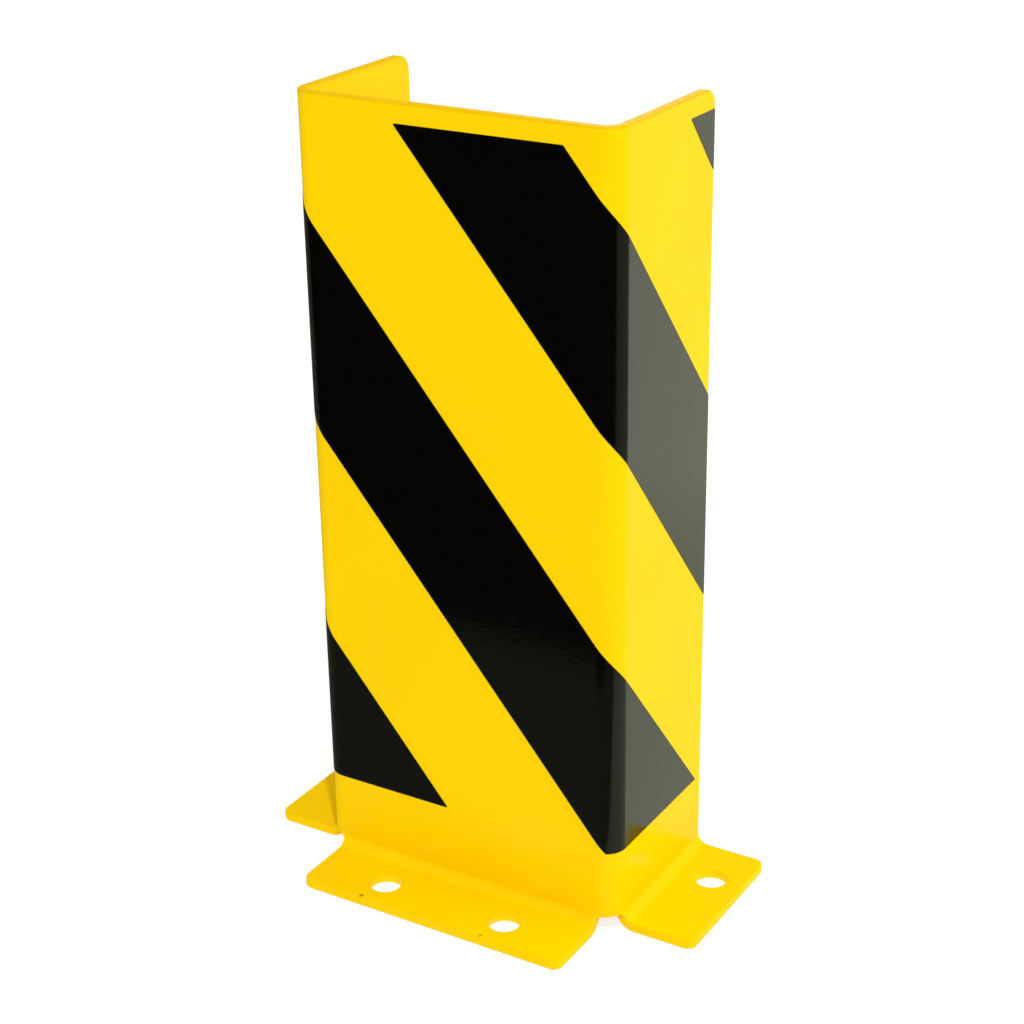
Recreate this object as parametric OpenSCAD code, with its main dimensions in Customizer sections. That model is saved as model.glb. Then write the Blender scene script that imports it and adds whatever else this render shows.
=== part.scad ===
// Rack column guard: a U-shaped channel folded from one steel sheet. Three feet are bent
// outwards at its base for floor anchors, and hazard stripes of film wrap around its walls.
// +Z is up, the front wall faces -Y, and the origin is the middle of the base on the floor.

/* [Channel] */
// Height of the walls above the floor
height = 400; // [380:5:450]
// Outside width of the channel
width = 170; // [164:1:190]
// Depth of the side walls, from the front face to the rear edges
depth = 92; // [88:1:120]
// Thickness of the steel sheet
sheet_t = 5; // [4:0.5:6]
// Inside radius of every bend
bend_r = 6; // [4:0.5:8]
// Radius of the top rear corners of the side walls
wall_corner_r = 8; // [2:0.5:9]

/* [Feet] */
// Reach of each foot from the outer face of its wall
foot_reach = 38; // [36:1:60]
// Width of the front foot
front_foot_w = 150; // [110:1:150]
// Distance from the front face to the front edge of the side feet
side_foot_start = 9; // [7:0.5:14]
// Radius of the feet's free corners
foot_corner_r = 5; // [1:0.5:10]
// How far the corner relief stops below the upper end of the foot bends
relief_drop = 2; // [0.5:0.5:3]
// Radius in the corners of the relief
relief_r = 2; // [1:0.5:3]

/* [Anchor holes] */
// Diameter of the anchor holes
hole_d = 16; // [10:1:20]
// Distance of each hole's centre from the outer face of its wall
hole_offset = 21; // [20:0.5:24]
// Spacing of the two holes in the front foot
front_hole_pitch = 70; // [40:1:80]
// Distance from the front face to the holes in the side feet
side_hole_start = 64; // [40:0.5:72]

/* [Hazard stripes] */
// Thickness of the film
film_t = 0.2; // [0.1:0.05:0.4]
// Angle of the stripes from the horizontal
stripe_angle = 50.5; // [48:0.5:52]
// Height of one stripe, measured straight up
stripe_h = 105.5; // [90:0.5:110]
// Vertical distance from one stripe to the next
stripe_pitch = 214; // [210:1:216]
// Height at which the middle stripe's lower edge crosses the centre line of the front
stripe_low = 142; // [138:1:146]
// Height of the lower edge of the striped field
film_bottom = 45.5; // [30:0.5:60]
// Distance from the top edge of the walls down to the striped field
film_top_gap = 9.5; // [9:0.5:14]
// Bare margin between the film and the rear edges of the side walls
film_rear_gap = 0.6; // [0.2:0.1:3]

/* [Hidden] */

$fn = 96;
slack = 1;
steel_colour = "#F8D000";
film_colour = "#15150F";

// The outer face of the front wall, with the base centred on the origin
front_y = (foot_reach - depth) / 2;

// Outside radius of the bends, and the height at which the feet bend out of the walls
bend_out = bend_r + sheet_t;
foot_bend_top = sheet_t + bend_r;
relief_top = foot_bend_top - relief_drop;

// Lengths around the outside of the channel, counted from the centre line of the front
flat_half = width / 2 - bend_out;
bend_len = bend_out * PI / 2;
side_len = depth - bend_out;

// The striped field, and how far it reaches round the channel on each side
film_top = height - film_top_gap;
film_reach = flat_half + bend_len + side_len - film_rear_gap;
stripe_slope = tan(stripe_angle);

// The film goes round a bend in flat facets that touch the bend along their middles
film_facets = 12;
facet_angle = 90 / film_facets;
facet_len = bend_len / film_facets;
right_folds = [for (i = [0 : film_facets - 1]) flat_half + (i + 0.5) * facet_len];
left_folds = [for (i = [film_facets - 1 : -1 : 0]) -right_folds[i]];
film_folds = concat(left_folds, right_folds);

// A stripe's pointed ends are this much short of a sharp point
blunt_tip = 0.05;

// A quarter bend of the sheet about the Z axis, from -Y round to +X
module bend(length) {
    rotate([0, 0, -90])
        rotate_extrude(angle = 90)
            translate([bend_r, 0])
                square([sheet_t, length]);
}

// A rectangle in the first quadrant whose far upper corner is rounded
module corner_rounded_plate(w, h, r) {
    square([w - r, h]);
    square([w, h - r]);
    translate([w - r, h - r])
        circle(r = r);
}

// What the relief takes away beyond a foot's end, seen along the wall's normal.
// The foot ends at x = 0, and the corner below the vertical bend is rounded.
module relief_section() {
    reach = relief_r + slack;
    translate([0, -slack])
        square([reach, relief_top - relief_r + slack]);
    translate([relief_r, -slack])
        square([slack, relief_top + slack]);
    translate([relief_r, relief_top - relief_r])
        circle(r = relief_r);
}

// One end of a foot's bend, cut free from the vertical bend beside it
module relief_cut() {
    translate([0, bend_out + slack, 0])
        rotate([90, 0, 0])
            linear_extrude(2 * (bend_out + slack))
                relief_section();
}

// Half of a foot, on the +X side of a line square to its wall. The wall's outer face is
// at y = 0 and the foot reaches to -Y. A relieved end is cut free beside a vertical bend.
module half_foot(half_w, relieved) {
    strip_len = half_w + (relieved ? relief_r : 0);
    difference() {
        translate([0, -bend_r, foot_bend_top])
            rotate([90, 0, 90])
                bend(strip_len);
        if (relieved)
            translate([half_w, 0, 0])
                relief_cut();
    }
    mirror([0, 1, 0])
        translate([0, bend_r, 0])
            linear_extrude(sheet_t)
                corner_rounded_plate(half_w, foot_reach - bend_r, foot_corner_r);
}

// A drilling through the feet
module anchor_hole() {
    translate([0, 0, -slack])
        cylinder(d = hole_d, h = sheet_t + 2 * slack);
}

// The front foot, with an anchor hole on each side of its middle
module front_foot() {
    translate([0, front_y, 0])
        difference() {
            for (side = [0, 1])
                mirror([side, 0, 0])
                    half_foot(front_foot_w / 2, true);
            for (side = [-1, 1])
                translate([side * front_hole_pitch / 2, -hole_offset, 0])
                    anchor_hole();
        }
}

// The foot of the right side wall, split at its anchor hole
module side_foot() {
    translate([width / 2, front_y + side_hole_start, 0])
        rotate([0, 0, 90])
            difference() {
                union() {
                    half_foot(depth - side_hole_start, false);
                    mirror([1, 0, 0])
                        half_foot(side_hole_start - side_foot_start, true);
                }
                translate([0, -hole_offset, 0])
                    anchor_hole();
            }
}

// The right side wall with its vertical bend and its foot
module side_wall() {
    translate([width / 2 - sheet_t, front_y + bend_out, foot_bend_top])
        rotate([90, 0, 90])
            linear_extrude(sheet_t)
                corner_rounded_plate(side_len, height - foot_bend_top, wall_corner_r);
    translate([flat_half, front_y + bend_out, relief_top])
        bend(height - relief_top);
    side_foot();
}

// The front wall between the two vertical bends
module front_wall() {
    translate([-flat_half, front_y, foot_bend_top])
        cube([2 * flat_half, sheet_t, height - foot_bend_top]);
}

// The folded steel sheet
module guard() {
    color(steel_colour)
        union() {
            front_wall();
            front_foot();
            for (side = [0, 1])
                mirror([side, 0, 0])
                    side_wall();
        }
}

// The point above the floor plan that lies a length s round the outside of the channel from
// the centre line of the front, and stands proud of the steel by h
function wrap_point(s, h) =
    let (
        turn = max(0, min(90, (abs(s) - flat_half) / bend_out * 180 / PI)),
        off_facet_middle = turn - facet_angle * round(turn / facet_angle),
        r = (bend_out + h) / cos(off_facet_middle),
        run = max(0, abs(s) - flat_half - bend_len)
    )
    [
        sign(s) * (min(abs(s), flat_half) + r * sin(turn)),
        front_y + bend_out + run - r * cos(turn)
    ];

// A rising list with one more value in its place
function with_value(list, value) =
    concat([for (v = list) if (v < value) v], [value], [for (v = list) if (v > value) v]);

// The lengths round the channel at which the outline of a stripe turns or its film folds
function stripe_stations(low) =
    let (
        first = max(-film_reach, (low - film_top) / stripe_slope + blunt_tip),
        last = min(film_reach, (low + stripe_h - film_bottom) / stripe_slope - blunt_tip),
        top_corner = (low + stripe_h - film_top) / stripe_slope,
        bottom_corner = (low - film_bottom) / stripe_slope,
        turns = with_value(with_value(film_folds, top_corner), bottom_corner)
    )
    concat([first], [for (s = turns) if (s > first && s < last) s], [last]);

// The section of a stripe at one station: inner low, inner high, outer high and outer low
function stripe_section(low, s) =
    let (
        inner = wrap_point(s, 0),
        outer = wrap_point(s, film_t),
        z_low = max(film_bottom, low - stripe_slope * s),
        z_high = min(film_top, low + stripe_h - stripe_slope * s)
    )
    [[each inner, z_low], [each inner, z_high], [each outer, z_high], [each outer, z_low]];

// One stripe, wrapped around the channel. The middle stripe is number 0, counted upwards.
module stripe(number) {
    low = stripe_low + number * stripe_pitch;
    stations = stripe_stations(low);
    last = 4 * (len(stations) - 1);
    color(film_colour)
        polyhedron(
            points = [for (s = stations) each stripe_section(low, s)],
            faces = [
                [0, 1, 2, 3],
                for (i = [0 : 4 : last - 4]) each [
                    [i + 3, i + 2, i + 6, i + 7],
                    [i, i + 4, i + 5, i + 1],
                    [i + 1, i + 5, i + 6],
                    [i + 1, i + 6, i + 2],
                    [i, i + 3, i + 7],
                    [i, i + 7, i + 4]
                ],
                [last + 3, last + 2, last + 1, last]
            ]
        );
}

// The small stripe at the top of the right side wall's rear edge
module stripe_rear() {
    stripe(2);
}

// The stripe from the top of the front down across the right side wall
module stripe_upper() {
    stripe(1);
}

// The stripe that crosses all three walls
module stripe_middle() {
    stripe(0);
}

// The stripe from the left side wall down to the foot of the front
module stripe_lower() {
    stripe(-1);
}

guard();
stripe_rear();
stripe_upper();
stripe_middle();
stripe_lower();
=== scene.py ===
"""The looks of a rack column guard: a yellow folded steel sheet with black hazard film."""
import math

import bpy
import numpy as np
from mathutils import Matrix, Vector
from mathutils.geometry import delaunay_2d_cdt


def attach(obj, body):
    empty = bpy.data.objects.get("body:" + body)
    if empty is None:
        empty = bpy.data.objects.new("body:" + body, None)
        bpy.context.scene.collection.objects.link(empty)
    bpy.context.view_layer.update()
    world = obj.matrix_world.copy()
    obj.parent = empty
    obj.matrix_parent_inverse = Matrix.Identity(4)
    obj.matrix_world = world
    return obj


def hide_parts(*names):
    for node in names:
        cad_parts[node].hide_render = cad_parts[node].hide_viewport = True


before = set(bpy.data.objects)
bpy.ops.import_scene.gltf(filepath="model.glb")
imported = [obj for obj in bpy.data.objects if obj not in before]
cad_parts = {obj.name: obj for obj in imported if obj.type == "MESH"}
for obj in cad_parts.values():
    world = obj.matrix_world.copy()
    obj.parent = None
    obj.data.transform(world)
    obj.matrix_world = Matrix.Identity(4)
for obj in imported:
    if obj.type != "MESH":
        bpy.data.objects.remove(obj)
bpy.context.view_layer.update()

# Sizes of the steel in millimetres, the same values as in the solids
MM = 0.001
HEIGHT = 400.0
WIDTH = 170.0
DEPTH = 92.0
SHEET_T = 5.0
BEND_IN = 6.0
BEND_OUT = BEND_IN + SHEET_T
WALL_CORNER_R = 8.0
FOOT_REACH = 38.0
FOOT_TOP = SHEET_T + BEND_IN
FOOT_CORNER_R = 5.0
FRONT_FOOT_HALF = 75.0
SIDE_FOOT_START = 9.0
RELIEF_DROP = 2.0
RELIEF_TOP = FOOT_TOP - RELIEF_DROP
RELIEF_R = 2.0
HOLE_R = 8.0
HOLE_OFFSET = 21.0
FRONT_HOLE_S = 35.0
SIDE_HOLE_START = 64.0
FRONT_Y = (FOOT_REACH - DEPTH) / 2

# Sizes of the film, likewise
FILM_T = 0.2
FILM_BOTTOM = 45.5
FILM_TOP_GAP = 9.5
FILM_TOP = HEIGHT - FILM_TOP_GAP
FILM_REAR_GAP = 0.6
STRIPE_H = 105.5
STRIPE_PITCH = 214.0
STRIPE_LOW = 142.0
STRIPE_ANGLE = 50.5
STRIPE_SLOPE = math.tan(math.radians(STRIPE_ANGLE))

# The stripes, counted upwards from the middle one, and the nodes that they stand for
STRIPES = ((2, "stripe_rear"), (1, "stripe_upper"), (0, "stripe_middle"), (-1, "stripe_lower"))

# Roundings that the solids leave out, in millimetres
EDGE_R = 0.6
FILM_EDGE_R = 0.09
FILM_CORNER_R = 0.5

# The flat pattern: s runs round the outside of the channel from the middle of the front, v runs
# up the walls and on down over the foot bends, and w goes into the sheet from its outside
FLAT_HALF = WIDTH / 2 - BEND_OUT
BEND_LEN = BEND_OUT * math.pi / 2
S_SIDE = FLAT_HALF + BEND_LEN
S_REAR = S_SIDE + DEPTH - BEND_OUT
S_SIDE_FOOT = S_REAR - (DEPTH - SIDE_FOOT_START)
S_SIDE_HOLE = S_REAR - (DEPTH - SIDE_HOLE_START)
FOOT_ARC = BEND_IN * math.pi / 2
V_FOOT_FLAT = FOOT_TOP - FOOT_ARC
V_END = V_FOOT_FLAT - (FOOT_REACH - BEND_IN)
V_HOLE = V_FOOT_FLAT - (HOLE_OFFSET - BEND_IN)

# Length of sheet over which a foot bend dies out beside its relief
RELIEF_BLEND = 3.5

# Numbers of steps along the flats, bends, corners and edges
FRONT_STEPS = 4
BEND_STEPS = 24
SIDE_STEPS = 5
FOOT_STEPS = 4
FOOT_BEND_STEPS = 14
WALL_STEPS = 16
CORNER_STEPS = 10
WALL_CORNER_STEPS = 14
HOLE_STEPS = 64
EDGE_STEPS = 4
FILM_CORNER_STEPS = 6
FILM_EDGE_STEPS = 2

# Tolerances in the flat pattern and the radius of its dome, in millimetres
SLOPE_STEP = 0.01
SAME = 1e-6
TINY = 1e-12
OUTLINE_GAP = 0.15
LATTICE_GAP = 0.35
BEND_LINE_REACH = 0.13
BEND_LINE_GAP = 0.02
WALL_SLACK = 0.01
DOME_R = 200.0
MERGE_DISTANCE = 1e-5


def between(start, end, steps):
    """Evenly spaced values along a span, without its ends."""
    return [start + (end - start) * i / steps for i in range(1, steps)]


# Where the sheet gets points: columns of constant s and rows of constant v
bend_columns = [FLAT_HALF + BEND_LEN * i / BEND_STEPS for i in range(BEND_STEPS + 1)]
right_columns = between(0, FLAT_HALF, FRONT_STEPS) + bend_columns + between(S_SIDE, S_REAR, SIDE_STEPS)
COLUMNS = sorted([-s for s in right_columns] + [0.0] + right_columns)
bend_rows = [V_FOOT_FLAT + FOOT_ARC * i / FOOT_BEND_STEPS for i in range(FOOT_BEND_STEPS + 1)]
ROWS = between(V_END, V_FOOT_FLAT, FOOT_STEPS) + bend_rows + between(FOOT_TOP, HEIGHT, WALL_STEPS)


def smooth(x):
    """A soft step from 0 to 1."""
    x = min(1.0, max(0.0, x))
    return x * x * (3 - 2 * x)


def wall_xy(s, w):
    """Plan position of the walls at length s round the channel and depth w into the sheet."""
    a = abs(s)
    if a <= FLAT_HALF:
        x, y = a, FRONT_Y + w
    elif a <= S_SIDE:
        turn = (a - FLAT_HALF) / BEND_OUT
        x = FLAT_HALF + (BEND_OUT - w) * math.sin(turn)
        y = FRONT_Y + BEND_OUT - (BEND_OUT - w) * math.cos(turn)
    else:
        x, y = WIDTH / 2 - w, FRONT_Y + BEND_OUT + a - S_SIDE
    return math.copysign(x, s), y


def fold(s, v, w):
    """Position in space of a point of the flat pattern."""
    wx, wy = wall_xy(s, w)
    if v >= FOOT_TOP:
        return Vector((wx, wy, v))
    a = abs(s)
    side = math.copysign(1.0, s)
    turn = min(math.pi / 2, (FOOT_TOP - v) / BEND_IN)
    run = max(0.0, V_FOOT_FLAT - v)
    out = BEND_IN - (BEND_IN + w) * math.cos(turn) + run
    z = FOOT_TOP - (BEND_IN + w) * math.sin(turn)

    # The walls' own curve fades along the foot bend, and the foot bend fades beside its relief
    keep = 1 - smooth(turn / (math.pi / 2))
    if a < (FRONT_FOOT_HALF + S_SIDE_FOOT) / 2:
        share = 1 - smooth((a - FRONT_FOOT_HALF) / RELIEF_BLEND)
        foot_x, foot_y = s, FRONT_Y - out
        flat_x, flat_y = s, FRONT_Y + w
    else:
        share = 1 - smooth((S_SIDE_FOOT - a) / RELIEF_BLEND)
        flat_y = foot_y = FRONT_Y + BEND_OUT + a - S_SIDE
        foot_x, flat_x = side * (WIDTH / 2 + out), side * (WIDTH / 2 - w)
    foot = Vector((foot_x + (wx - flat_x) * keep, foot_y + (wy - flat_y) * keep, z))
    return Vector((wx, wy, v)).lerp(foot, share)


def fold_axes(s, v, w):
    """Unit directions along s and v, and the outward normal of the sheet, in space."""
    along_s = (fold(s + SLOPE_STEP, v, w) - fold(s - SLOPE_STEP, v, w)).normalized()
    along_v = (fold(s, v + SLOPE_STEP, w) - fold(s, v - SLOPE_STEP, w)).normalized()
    return along_s, along_v, along_s.cross(along_v).normalized()


def arc(cs, cv, r, start, end, hollow=False, steps=CORNER_STEPS):
    """Outline points of a corner or a hole, each with its direction out of the material."""
    points = []
    sign = -1 if hollow else 1
    for i in range(steps + 1):
        angle = math.radians(start + (end - start) * i / steps)
        c, n = math.cos(angle), math.sin(angle)
        points.append((cs + r * c, cv + r * n, sign * c, sign * n))
    return points


def joined(corners):
    """A closed outline through rounded corners, with points where the sheet is bent."""
    outline = []
    for i, corner in enumerate(corners):
        outline += corner
        p, q = corner[-1], corners[(i + 1) % len(corners)][0]
        if abs(p[0] - q[0]) > SAME:
            cuts = [(c - p[0]) / (q[0] - p[0]) for c in COLUMNS]
        else:
            cuts = [(c - p[1]) / (q[1] - p[1]) for c in ROWS]
        margin = OUTLINE_GAP / math.hypot(q[0] - p[0], q[1] - p[1])
        for t in sorted(t for t in cuts if margin < t < 1 - margin):
            s, v = p[0] + (q[0] - p[0]) * t, p[1] + (q[1] - p[1]) * t
            outline.append((s, v, p[2], p[3]))
    return outline


def mirrored(points):
    """The same outline points on the left half of the flat pattern."""
    return [(-s, v, -ns, nv) for s, v, ns, nv in reversed(points)]


def rounded(polygon, r):
    """The corners of a convex clockwise polygon, rounded."""
    corners = []
    for i, p in enumerate(polygon):
        before = (Vector(p) - Vector(polygon[i - 1])).normalized()
        after = (Vector(polygon[(i + 1) % len(polygon)]) - Vector(p)).normalized()
        n0, n1 = Vector((-before.y, before.x)), Vector((-after.y, after.x))
        centre = Vector(p) - (n0 + n1) * (r / (1 + n0.dot(n1)))
        start = math.degrees(math.atan2(n0.y, n0.x))
        turn = math.degrees(math.atan2(n0.x * n1.y - n0.y * n1.x, n0.dot(n1)))
        corners.append(arc(centre.x, centre.y, r, start, start + turn, steps=FILM_CORNER_STEPS))
    return corners


def sheet_outlines():
    """The flat pattern of the steel: its outer edge and its four anchor holes."""
    r = FOOT_CORNER_R
    right = [
        arc(S_REAR - WALL_CORNER_R, HEIGHT - WALL_CORNER_R, WALL_CORNER_R, 90, 0,
            steps=WALL_CORNER_STEPS),
        arc(S_REAR - r, V_END + r, r, 0, -90),
        arc(S_SIDE_FOOT + r, V_END + r, r, -90, -180),
        arc(S_SIDE_FOOT - RELIEF_R, RELIEF_TOP - RELIEF_R, RELIEF_R, 0, 90, hollow=True),
        arc(FRONT_FOOT_HALF + RELIEF_R, RELIEF_TOP - RELIEF_R, RELIEF_R, 90, 180, hollow=True),
        arc(FRONT_FOOT_HALF - r, V_END + r, r, 0, -90),
    ]
    left = [mirrored(corner) for corner in reversed(right)]
    outlines = [joined(right + left)]
    for s in (-S_SIDE_HOLE, -FRONT_HOLE_S, FRONT_HOLE_S, S_SIDE_HOLE):
        outlines.append(arc(s, V_HOLE, HOLE_R, 0, 360, hollow=True, steps=HOLE_STEPS)[:-1])
    return outlines


def stripe_outline(number):
    """The outline of one stripe of film, clipped to the striped field."""
    low = STRIPE_LOW + number * STRIPE_PITCH
    reach = S_REAR - FILM_REAR_GAP
    polygon = [(-reach, FILM_TOP), (reach, FILM_TOP), (reach, FILM_BOTTOM), (-reach, FILM_BOTTOM)]
    for offset, above in ((low, 1), (low + STRIPE_H, -1)):
        clipped = []
        for i, q in enumerate(polygon):
            p = polygon[i - 1]
            dp = above * (p[1] + STRIPE_SLOPE * p[0] - offset)
            dq = above * (q[1] + STRIPE_SLOPE * q[0] - offset)
            if dp * dq < 0:
                t = dp / (dp - dq)
                clipped.append((p[0] + (q[0] - p[0]) * t, p[1] + (q[1] - p[1]) * t))
            if dq >= 0:
                clipped.append(q)
        polygon = clipped
    return joined(rounded(polygon, FILM_CORNER_R))


def inside(points, loops, margin):
    """Which points lie in the region between the loops, and clear of its edges."""
    p = np.array(points)
    within = np.zeros(len(p), bool)
    clear = np.full(len(p), np.inf)
    for loop in loops:
        a = np.array(loop)
        b = np.roll(a, -1, 0)
        for (s0, v0), (s1, v1) in zip(a, b):
            cross = (v0 > p[:, 1]) != (v1 > p[:, 1])
            with np.errstate(divide="ignore", invalid="ignore"):
                at = s0 + (p[:, 1] - v0) / (v1 - v0) * (s1 - s0)
            within ^= cross & (p[:, 0] < at)
            d = np.array([s1 - s0, v1 - v0])
            t = np.clip(((p - (s0, v0)) @ d) / max(d @ d, TINY), 0, 1)
            clear = np.minimum(clear, np.linalg.norm(p - (s0, v0) - t[:, None] * d, axis=1))
    return within & (clear > margin)


def bend_lines(points, loops):
    """Pairs of points along the bends, so that no triangle cuts across a bend."""
    lines = []
    for across, along, stations in ((0, 1, COLUMNS), (1, 0, ROWS)):
        for station in stations:
            line = [i for i, p in enumerate(points) if abs(p[across] - station) < BEND_LINE_REACH]
            line.sort(key=lambda i: points[i][along])
            for i, j in zip(line, line[1:]):
                on_wall = min(points[i][1], points[j][1]) > FOOT_TOP - WALL_SLACK
                if on_wall == (across == 0):
                    lines.append((i, j))
    middles = [tuple((np.array(points[i]) + points[j]) / 2) for i, j in lines]
    return [line for line, keep in zip(lines, inside(middles, loops, BEND_LINE_GAP)) if keep]


def domed(points, middle):
    """Points of the flat pattern on a dome, where no three along a straight edge stay in line."""
    p = np.array(points) - middle
    return p / np.sqrt(1 + (p * p).sum(1, keepdims=True) / DOME_R ** 2)


def triangulated(points, edges, loops):
    """Triangles that fill the region between the loops, as numbers of points."""
    middle = (np.min(points, 0) + np.max(points, 0)) / 2
    dome = [Vector(p) for p in domed(points, middle)]
    dome_loops = [domed(loop, middle) for loop in loops]
    out_co, _, triangles, origins, _, _ = delaunay_2d_cdt(dome, edges, [], 0, MERGE_DISTANCE, True)
    middles = [sum((out_co[i] for i in t), Vector((0, 0))) / 3 for t in triangles]
    within = inside([tuple(m) for m in middles], dome_loops, 0.0)
    return [[origins[i][0] for i in t] for t, keep in zip(triangles, within) if keep]


def edge_rings(w_out, w_in, r, steps):
    """Rings of points round a rounded edge, from the outside of the plate to the inside. Each has
    its distance in from the outline, its depth, the tilt of its normals and the side it faces."""
    angles = [math.pi / 2 * i / steps for i in range(steps + 1)]
    outer = [(r * (1 - math.sin(a)), w_out + r * (1 - math.cos(a)), a, 1) for a in angles]
    inner = [(r * (1 - math.sin(a)), w_in - r * (1 - math.cos(a)), a, -1) for a in reversed(angles)]
    return outer + inner


def facing_out(faces, co, normals):
    """The faces, each turned the way that the normals at its corners point."""
    turned = []
    for face in faces:
        p = [co[i] for i in face]
        facing = (p[1] - p[0]).cross(p[2] - p[0])
        if len(p) == 4:
            facing += (p[2] - p[0]).cross(p[3] - p[0])
        mean = sum((normals[i] for i in face), Vector((0, 0, 0)))
        turned.append(face if facing.dot(mean) > 0 else tuple(reversed(face)))
    return turned


def plate_mesh(name, outlines, w_out, w_in, edge_r, edge_steps):
    """A folded plate with rounded edges, from the outlines of its flat pattern. Its attribute
    edge_line is 1 along the middle of each rounding and 0 on the faces."""
    co, normals, edge_line, faces = [], [], [], []

    def add(s, v, w, tilt, facing, ns=0.0, nv=0.0):
        """Add one point with its normal, which tilts from the face towards the edge."""
        along_s, along_v, out = fold_axes(s, v, w)
        edge = along_s * ns + along_v * nv
        co.append(fold(s, v, w) * MM)
        normals.append((out * math.cos(tilt) * facing + edge * math.sin(tilt)).normalized())
        edge_line.append(math.sin(2 * tilt))
        return len(co) - 1

    rings = edge_rings(w_out, w_in, edge_r, edge_steps)
    inset = rings[0][0]
    flat_points, flat_edges, loops, outer_ids, inner_ids = [], [], [], [], []
    for outline in outlines:
        ids = [
            [add(s - ns * d, v - nv * d, w, tilt, facing, ns, nv) for s, v, ns, nv in outline]
            for d, w, tilt, facing in rings
        ]
        n = len(outline)
        for lower, upper in zip(ids, ids[1:]):
            for j in range(n):
                k = (j + 1) % n
                faces.append((lower[j], lower[k], upper[k], upper[j]))
        first = len(flat_points)
        loops.append([(s - ns * inset, v - nv * inset) for s, v, ns, nv in outline])
        flat_points += loops[-1]
        flat_edges += [(first + j, first + (j + 1) % n) for j in range(n)]
        outer_ids += ids[0]
        inner_ids += ids[-1]

    lattice = [(s, v) for s in COLUMNS for v in ROWS]
    for (s, v), keep in zip(lattice, inside(lattice, loops, LATTICE_GAP)):
        if keep:
            flat_points.append((s, v))
            outer_ids.append(add(s, v, w_out, 0.0, 1))
            inner_ids.append(add(s, v, w_in, 0.0, -1))

    flat_edges += bend_lines(flat_points, loops)
    for corners in triangulated(flat_points, flat_edges, loops):
        faces.append(tuple(outer_ids[i] for i in corners))
        faces.append(tuple(inner_ids[i] for i in reversed(corners)))

    mesh = bpy.data.meshes.new(name)
    mesh.from_pydata(co, [], facing_out(faces, co, normals))
    mesh.shade_smooth()
    mesh.attributes.new("edge_line", "FLOAT", "POINT").data.foreach_set("value", edge_line)
    mesh.normals_split_custom_set_from_vertices(normals)
    mesh.validate(clean_customdata=False)
    piece = bpy.data.objects.new(name, mesh)
    bpy.context.scene.collection.objects.link(piece)
    return piece


# Building blocks of node trees. A value is a number or the output of another node.
def feed(tree, socket, value):
    """Set a socket to a number, or link another node's output to it."""
    if isinstance(value, (int, float)):
        socket.default_value = value
    else:
        tree.links.new(value, socket)


def math_node(tree, operation, *values):
    """The result of a calculation with one or two values."""
    node = tree.nodes.new("ShaderNodeMath")
    node.operation = operation
    for socket, value in zip(node.inputs, values):
        feed(tree, socket, value)
    return node.outputs[0]


def soft_range(tree, value, span, levels):
    """A value that goes softly from the first level to the second along a span."""
    node = tree.nodes.new("ShaderNodeMapRange")
    node.interpolation_type = "SMOOTHSTEP"
    for name, number in zip(("From Min", "From Max", "To Min", "To Max"), (*span, *levels)):
        node.inputs[name].default_value = number
    tree.links.new(value, node.inputs["Value"])
    return node.outputs["Result"]


def coordinates(tree, kind):
    """Texture coordinates of one kind, as a vector and as X, Y and Z."""
    place = tree.nodes.new("ShaderNodeTexCoord").outputs[kind]
    split = tree.nodes.new("ShaderNodeSeparateXYZ")
    tree.links.new(place, split.inputs[0])
    return place, split.outputs["X"], split.outputs["Y"], split.outputs["Z"]


def distance(tree, place, point):
    """How far a place is from a fixed point."""
    node = tree.nodes.new("ShaderNodeVectorMath")
    node.operation = "DISTANCE"
    tree.links.new(place, node.inputs[0])
    node.inputs[1].default_value = point
    return node.outputs["Value"]


def noise(tree, place, scale, detail):
    """Noise at a place; with object coordinates it keeps its real size."""
    node = tree.nodes.new("ShaderNodeTexNoise")
    node.inputs["Scale"].default_value = scale
    node.inputs["Detail"].default_value = detail
    tree.links.new(place, node.inputs["Vector"])
    return node


def mixed(tree, factor, first, second):
    """Two colours mixed by a factor; the first may be the result of another mix."""
    node = tree.nodes.new("ShaderNodeMix")
    node.data_type = "RGBA"
    tree.links.new(factor, node.inputs["Factor"])
    node.inputs["B"].default_value = (*second, 1)
    if isinstance(first, tuple):
        node.inputs["A"].default_value = (*first, 1)
    else:
        tree.links.new(first, node.inputs["A"])
    return node.outputs["Result"]


def bumped(tree, shader, height, depth):
    """Relief on a surface, its depth in metres."""
    node = tree.nodes.new("ShaderNodeBump")
    node.inputs["Strength"].default_value = 1.0
    node.inputs["Distance"].default_value = depth
    tree.links.new(height, node.inputs["Height"])
    tree.links.new(node.outputs["Normal"], shader.inputs["Normal"])


def plain_shader(tree, kind, colour, strength=None):
    """A diffuse shader, or an emission or background shader of some strength."""
    node = tree.nodes.new(kind)
    node.inputs["Color"].default_value = (*colour, 1)
    if strength is not None:
        feed(tree, node.inputs["Strength"], strength)
    return node.outputs[0]


def joined_shaders(tree, kind, first, second, factor=None):
    """Two shaders added together, or mixed by a factor."""
    node = tree.nodes.new(kind)
    if factor is not None:
        tree.links.new(factor, node.inputs["Fac"])
    for socket, shader in zip(list(node.inputs)[-2:], (first, second)):
        tree.links.new(shader, socket)
    return node.outputs[0]


def by_ray(tree, output, lit, seen, gloss):
    """One shader for the light that reaches the object, one for the camera and one for gloss."""
    path = tree.nodes.new("ShaderNodeLightPath").outputs
    looking = math_node(tree, "MAXIMUM", path["Is Camera Ray"], path["Is Transmission Ray"])
    choice = joined_shaders(tree, "ShaderNodeMixShader", lit, seen, looking)
    final = joined_shaders(tree, "ShaderNodeMixShader", choice, gloss, path["Is Glossy Ray"])
    tree.links.new(final, tree.nodes.new(output).inputs["Surface"])


# The span that holds most of a noise texture's values
NOISE_SPAN = (0.3, 0.7)

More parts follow.
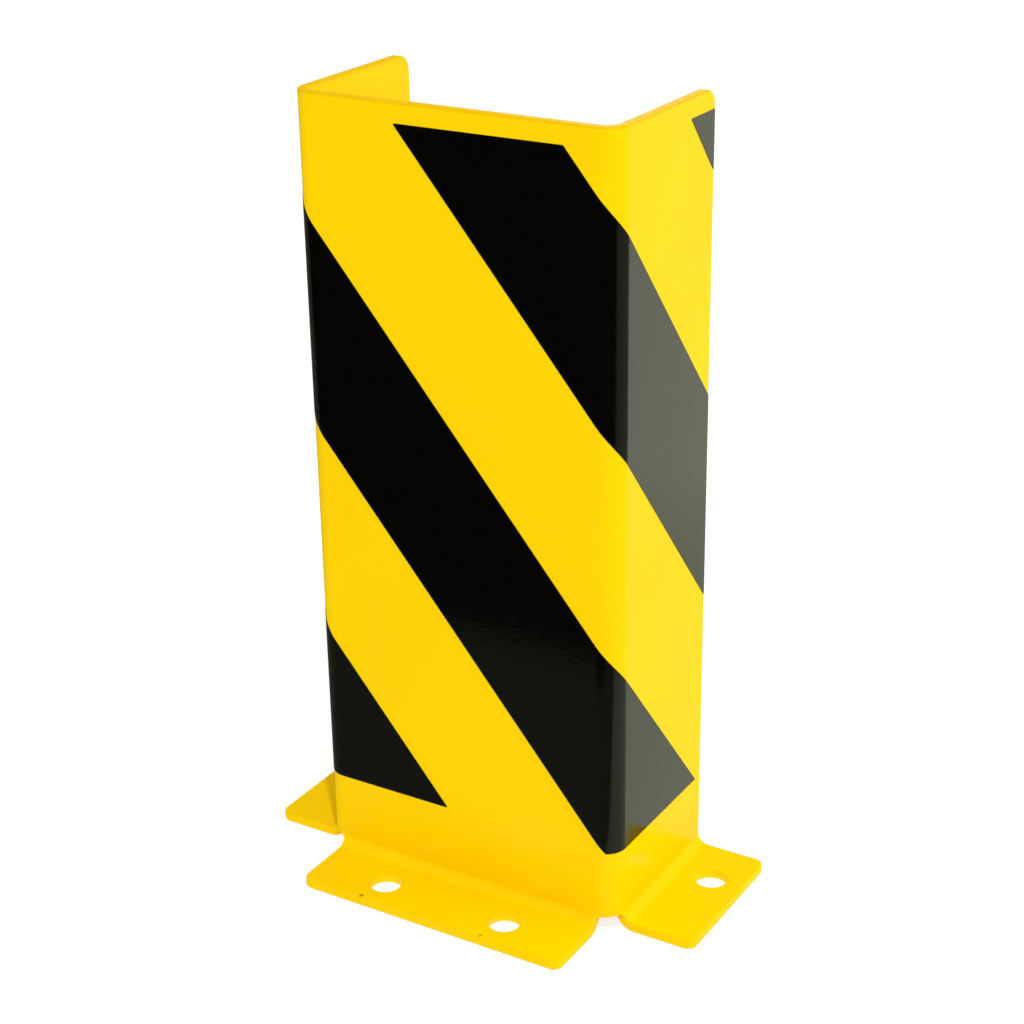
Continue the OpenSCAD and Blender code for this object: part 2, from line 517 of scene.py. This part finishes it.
# The powder coat: colours, and heights and distances in metres
COAT_YELLOW = (0.92, 0.6, 0.0)
COAT_LIGHT = (0.928, 0.607, 0.0)
COAT_DEEP = (0.908, 0.589, 0.0)
# Painted shade: a darker coat colour for the top face of the sheet and its rounding
COAT_TOP_PAINTED_SHADE = (0.81, 0.515, 0.0)
COAT_THIN = (0.62, 0.32, 0.0)
COAT_CHIPPED = (0.32, 0.15, 0.0)
COAT_ROUGHNESS = 0.2
COAT_SPECULAR = 0.05
CLOUD_SCALE = 14
CLOUD_SPAN = (0.35, 0.65)
# Heights in metres over which the painted shade of the top comes in
TOP_SHADE_SPAN = (0.3984, 0.3994)
WORN_SPAN = (0.02, 0.3)
WORN_LEVELS = (0.2, 0.55)
COAT_PEEL_SCALE = 380
COAT_PEEL_ROUGHNESS = (0.17, 0.25)
COAT_PEEL_DEPTH = 0.0001

# Chips in the coat of the front foot: place and radius in millimetres, and how much of the coat
# is gone. Their edges wander by a noise.
CHIPS = (((-39.4, -63.5, 5.0), 1.5, 0.9), ((30.8, -63.5, 5.0), 1.5, 0.6))
CHIP_CORE = 0.4
CHIP_NOISE_SCALE = 900
CHIP_WANDER = 0.0016

# The film: colours, and distances in metres
FILM_BLACK = (0.0015, 0.0013, 0.001)
FILM_DEEP = (0.0012, 0.0011, 0.0009)
FILM_LIGHT = (0.0022, 0.0019, 0.0014)
FILM_SPECULAR_TINT = (0.96, 1.0, 0.84, 1)
FILM_ROUGHNESS = 0.08
FILM_GRAIN_SCALE = 260
FILM_PEEL_SCALE = 600
FILM_PEEL_ROUGHNESS = (0.06, 0.11)
FILM_PEEL_DEPTH = 0.00005


def new_material(name, colour, roughness):
    """A material of one principled shader, with its node tree and its shader. The plain colour and
    roughness serve where the nodes are not read."""
    material = bpy.data.materials.new(name)
    material.use_nodes = True
    shader = material.node_tree.nodes["Principled BSDF"]
    shader.inputs["Base Color"].default_value = (*colour, 1)
    shader.inputs["Roughness"].default_value = roughness
    return material, material.node_tree, shader


def powder_coat():
    """Yellow powder coat: orange peel, thin on its edges, painted shade on its top face and rim, with
    two chips on the front foot.
    """
    material, tree, shader = new_material("powder_coat_yellow", COAT_YELLOW, COAT_ROUGHNESS)
    shader.inputs["Specular IOR Level"].default_value = COAT_SPECULAR
    nodes, links = tree.nodes, tree.links
    place, _, _, z = coordinates(tree, "Object")

    clouds = noise(tree, place, CLOUD_SCALE, detail=3).outputs["Fac"]
    colour = mixed(tree, soft_range(tree, clouds, CLOUD_SPAN, (0, 1)), COAT_LIGHT, COAT_DEEP)
    # Painted shade: the top face of the sheet and its rounding are darkened by their height
    colour = mixed(tree, soft_range(tree, z, TOP_SHADE_SPAN, (0, 1)), colour, COAT_TOP_PAINTED_SHADE)
    edge = nodes.new("ShaderNodeAttribute")
    edge.attribute_name = "edge_line"
    worn = soft_range(tree, z, WORN_SPAN, WORN_LEVELS)
    thin = math_node(tree, "MULTIPLY", edge.outputs["Fac"], worn)
    colour = mixed(tree, thin, colour, COAT_THIN)

    ragged = nodes.new("ShaderNodeVectorMath")
    ragged.operation = "MULTIPLY_ADD"
    links.new(noise(tree, place, CHIP_NOISE_SCALE, detail=2).outputs["Color"], ragged.inputs[0])
    ragged.inputs[1].default_value = (CHIP_WANDER, CHIP_WANDER, CHIP_WANDER)
    links.new(place, ragged.inputs[2])
    for centre, size, depth in CHIPS:
        away = distance(tree, ragged.outputs[0], [c * MM + CHIP_WANDER / 2 for c in centre])
        chip = soft_range(tree, away, (size * CHIP_CORE * MM, size * MM), (depth, 0))
        colour = mixed(tree, chip, colour, COAT_CHIPPED)
    links.new(colour, shader.inputs["Base Color"])

    peel = noise(tree, place, COAT_PEEL_SCALE, detail=1).outputs["Fac"]
    links.new(soft_range(tree, peel, NOISE_SPAN, COAT_PEEL_ROUGHNESS), shader.inputs["Roughness"])
    bumped(tree, shader, peel, COAT_PEEL_DEPTH)
    return material


def film():
    """Glossy black film that shows the orange peel of the coat under it."""
    material, tree, shader = new_material("stripe_film_black", FILM_BLACK, FILM_ROUGHNESS)
    shader.inputs["Specular Tint"].default_value = FILM_SPECULAR_TINT
    links = tree.links
    place = tree.nodes.new("ShaderNodeTexCoord").outputs["Object"]
    grain = noise(tree, place, FILM_GRAIN_SCALE, detail=3).outputs["Fac"]
    colour = mixed(tree, soft_range(tree, grain, NOISE_SPAN, (0, 1)), FILM_DEEP, FILM_LIGHT)
    links.new(colour, shader.inputs["Base Color"])
    peel = noise(tree, place, FILM_PEEL_SCALE, detail=1.5).outputs["Fac"]
    links.new(soft_range(tree, peel, NOISE_SPAN, FILM_PEEL_ROUGHNESS), shader.inputs["Roughness"])
    bumped(tree, shader, peel, FILM_PEEL_DEPTH)
    return material


# The pieces
coat = powder_coat()
black = film()

sheet = plate_mesh("guard_sheet", sheet_outlines(), 0.0, SHEET_T, EDGE_R, EDGE_STEPS)
sheet.data.materials.append(coat)
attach(sheet, "root")
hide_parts("guard")

for number, node in STRIPES:
    outline = stripe_outline(number)
    piece = plate_mesh(f"{node}_film", [outline], -FILM_T, 0.0, FILM_EDGE_R, FILM_EDGE_STEPS)
    piece.data.materials.append(black)
    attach(piece, "root")
    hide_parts(node)

# The studio: lengths in metres, and strengths of light, where 1 is white
WHITE = (1, 1, 1)
FLOOR_HALF = 4.0
FLOOR_DROP = 0.0002

# Light from the floor: a pale table that glows near the object, and more under the anchor holes.
# The holes' places are those of the right half, in millimetres.
TABLE_GREY = (0.8, 0.8, 0.8)
GLOW_SPAN = (0.15, 0.4)
GLOW_LEVELS = (0.17, 0)
HOLE_PLACES = ((FRONT_HOLE_S, FRONT_Y - HOLE_OFFSET),
               (WIDTH / 2 + HOLE_OFFSET, FRONT_Y + SIDE_HOLE_START))
HOLE_GLOW_REACH = 1.3
HOLE_GLOW_SPAN = (HOLE_R * MM, HOLE_GLOW_REACH * HOLE_R * MM)
HOLE_GLOW_LEVELS = (0.62, 0)

# The floor to the camera: the white that is always there, and the grey that takes the shadow
FLOOR_WHITE = 0.74
SHADOW_GREY = (0.34, 0.34, 0.34)

# The floor to gloss. White begins behind a line to each side, given by its normal in the floor,
# and gets brighter away from the object. A pale table ends in front of the object. The right side
# is a fan from a point on the front foot, and it gets dimmer away from the object.
GLOSS_TINT = (0.96, 1.0, 0.78)
BEHIND_NORMAL = (-0.77, 0.64)
BEHIND_SPAN = (-0.09, -0.06)
BEHIND_REACH = (0.42, 0.66)
BEHIND_LEVELS = (0.93, 1.19)
TABLE_SPAN = (-0.29, -0.272)
TABLE_LEVELS = (0.003, 0.125)
FAN_Y = -0.059
FAN_SPAN = (-0.42, -0.08)
SIDE_SPAN = (0.05, 0.12)
SIDE_REACH = (0.3, 0.8)
SIDE_LEVELS = (0.56, 0.31)

# Light from all round: its level, how much it grows to the right, how much more behind on the
# right and at the front left, and its least strength
FILL_LEVEL = 0.84
FILL_RIGHT = 0.45
FILL_DIAGONAL = 1.6
FILL_LEAST = 0.4

# The room to gloss: dim, with a low bright panel behind that edges facing up show
ROOM_GLOSS = 0.1
PANEL_SKEW = 0.58
PANEL_SPAN = (-0.03, 0.03)
PANEL_LEVELS = (0, 0.6)
PANEL_TOP_SPAN = (0.34, 0.42)


def floor_gloss(tree, x, y, aside, reach):
    """How bright the floor is to gloss."""
    behind = math_node(tree, "ADD", math_node(tree, "MULTIPLY", aside, BEHIND_NORMAL[0]),
                       math_node(tree, "MULTIPLY", y, BEHIND_NORMAL[1]))
    behind = math_node(tree, "MULTIPLY", soft_range(tree, behind, BEHIND_SPAN, (0, 1)),
                       soft_range(tree, reach, BEHIND_REACH, BEHIND_LEVELS))
    table = soft_range(tree, y, TABLE_SPAN, TABLE_LEVELS)
    fan = math_node(tree, "DIVIDE", math_node(tree, "SUBTRACT", y, FAN_Y), x)
    side = math_node(tree, "MULTIPLY", soft_range(tree, fan, FAN_SPAN, (0, 1)),
                     soft_range(tree, x, SIDE_SPAN, (0, 1)))
    side = math_node(tree, "MULTIPLY", side, soft_range(tree, reach, SIDE_REACH, SIDE_LEVELS))
    return math_node(tree, "MAXIMUM", math_node(tree, "MAXIMUM", table, side), behind)


def floor_material():
    """A floor that is a pale table to the object, white with a soft shadow to the camera, and a
    studio to gloss."""
    material = bpy.data.materials.new("pale_floor")
    material.use_nodes = True
    material.cycles.emission_sampling = "NONE"
    tree = material.node_tree
    tree.nodes.clear()
    place, x, y, _ = coordinates(tree, "Object")
    aside = math_node(tree, "ABSOLUTE", x)
    reach = distance(tree, place, (0, 0, 0))

    right_half = tree.nodes.new("ShaderNodeCombineXYZ")
    tree.links.new(aside, right_half.inputs["X"])
    tree.links.new(y, right_half.inputs["Y"])
    glow = soft_range(tree, reach, GLOW_SPAN, GLOW_LEVELS)
    for hole_x, hole_y in HOLE_PLACES:
        away = distance(tree, right_half.outputs[0], (hole_x * MM, hole_y * MM, 0))
        glow = math_node(tree, "MAXIMUM", glow,
                         soft_range(tree, away, HOLE_GLOW_SPAN, HOLE_GLOW_LEVELS))

    lit = joined_shaders(tree, "ShaderNodeAddShader",
                         plain_shader(tree, "ShaderNodeBsdfDiffuse", TABLE_GREY),
                         plain_shader(tree, "ShaderNodeEmission", WHITE, glow))
    seen = joined_shaders(tree, "ShaderNodeAddShader",
                          plain_shader(tree, "ShaderNodeEmission", WHITE, FLOOR_WHITE),
                          plain_shader(tree, "ShaderNodeBsdfDiffuse", SHADOW_GREY))
    gloss = plain_shader(tree, "ShaderNodeEmission", GLOSS_TINT,
                         floor_gloss(tree, x, y, aside, reach))
    by_ray(tree, "ShaderNodeOutputMaterial", lit, seen, gloss)
    return material


def studio_world():
    """Soft light from all round, white to the camera and a dim room to gloss."""
    world = bpy.data.worlds.new("studio")
    world.use_nodes = True
    world.cycles.sampling_method = "NONE"
    tree = world.node_tree
    tree.nodes.clear()
    _, x, y, z = coordinates(tree, "Generated")

    growth = math_node(tree, "ADD", math_node(tree, "MULTIPLY", y, FILL_DIAGONAL), FILL_RIGHT)
    fill = math_node(tree, "ADD", math_node(tree, "MULTIPLY", x, growth), FILL_LEVEL)
    fill = math_node(tree, "MAXIMUM", fill, FILL_LEAST)
    across = math_node(tree, "ADD", x, math_node(tree, "MULTIPLY", y, PANEL_SKEW))
    panel = math_node(tree, "MULTIPLY", soft_range(tree, across, PANEL_SPAN, PANEL_LEVELS),
                      soft_range(tree, z, PANEL_TOP_SPAN, (1, 0)))
    room = math_node(tree, "ADD", panel, ROOM_GLOSS)

    by_ray(tree, "ShaderNodeOutputWorld",
           plain_shader(tree, "ShaderNodeBackground", WHITE, fill),
           plain_shader(tree, "ShaderNodeBackground", WHITE, 1.0),
           plain_shader(tree, "ShaderNodeBackground", WHITE, room))
    return world


def softbox(name, place, target, side, power):
    """A square lamp that points at a target."""
    light = bpy.data.lights.new(name, "AREA")
    light.shape = "SQUARE"
    light.size = side
    light.energy = power
    lamp = bpy.data.objects.new(name, light)
    lamp.location = place
    lamp.rotation_euler = (Vector(target) - Vector(place)).to_track_quat("-Z", "Y").to_euler()
    bpy.context.scene.collection.objects.link(lamp)


floor_mesh = bpy.data.meshes.new("floor")
corners = [(-1, -1), (1, -1), (1, 1), (-1, 1)]
floor_mesh.from_pydata([(FLOOR_HALF * i, FLOOR_HALF * j, 0) for i, j in corners], [], [(0, 1, 2, 3)])
floor_mesh.materials.append(floor_material())
floor = bpy.data.objects.new("floor", floor_mesh)
floor.location = (0, 0, -FLOOR_DROP)
bpy.context.scene.collection.objects.link(floor)

bpy.context.scene.world = studio_world()
softbox("key_light", place=(0.697, -0.8955, 1.8657), target=(0, 0, 0.15), side=0.06, power=17)
softbox("side_softbox", place=(1.8, 0.3, 0.95), target=(0, 0, 0.2), side=1.0, power=3)

# The camera, at the photograph's viewing angle
AZIMUTH, PITCH, ROLL = (math.radians(a) for a in (31.32, 23.44, -0.91))
CAMERA_PLACE = (0.502, -0.802, 0.609)
SENSOR_WIDTH = 36
LENS = 75.41
CLIP_START = 0.05

forward = Vector((
    -math.sin(AZIMUTH) * math.cos(PITCH),
    math.cos(AZIMUTH) * math.cos(PITCH),
    -math.sin(PITCH),
))
level = Vector((math.cos(AZIMUTH), math.sin(AZIMUTH), 0))
above = level.cross(forward)
right = level * math.cos(ROLL) + above * math.sin(ROLL)
up = above * math.cos(ROLL) - level * math.sin(ROLL)
camera_data = bpy.data.cameras.new("camera")
camera_data.sensor_width = SENSOR_WIDTH
camera_data.lens = LENS
camera_data.clip_start = CLIP_START
camera = bpy.data.objects.new("camera", camera_data)
turn = Matrix((right, up, -forward)).transposed().to_4x4()
camera.matrix_world = Matrix.Translation(CAMERA_PLACE) @ turn
bpy.context.scene.collection.objects.link(camera)
bpy.context.scene.camera = camera

bpy.context.scene.view_settings.view_transform = "Standard"
